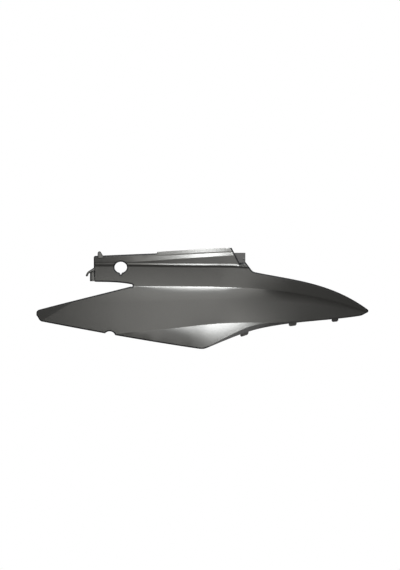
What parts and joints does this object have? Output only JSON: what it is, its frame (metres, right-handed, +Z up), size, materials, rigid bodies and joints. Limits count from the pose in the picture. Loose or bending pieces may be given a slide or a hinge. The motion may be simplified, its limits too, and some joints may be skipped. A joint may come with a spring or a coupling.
{
  "type": "scooter side panel",
  "caption": "Thin moulded side panel of a scooter's rear body, painted dark metallic grey, with a blade-shaped front, an arm with a lock hole, and tabs along its rear edges.",
  "frame": {"origin": "on the inner face of the rear tab, where that tab seats on the scooter's frame", "axes": "+X from the nose of the panel to its tail, +Y inwards and square to the rear tab's inner face, +Z up; the painted face looks towards -Y"},
  "size_m": [0.7159, 0.0863, 0.2169],
  "materials": {
    "paint": "dark grey metallic paint on moulded plastic"
  },
  "bodies": {
    "root": {"side_panel": "paint"}
  },
  "joints": []
}
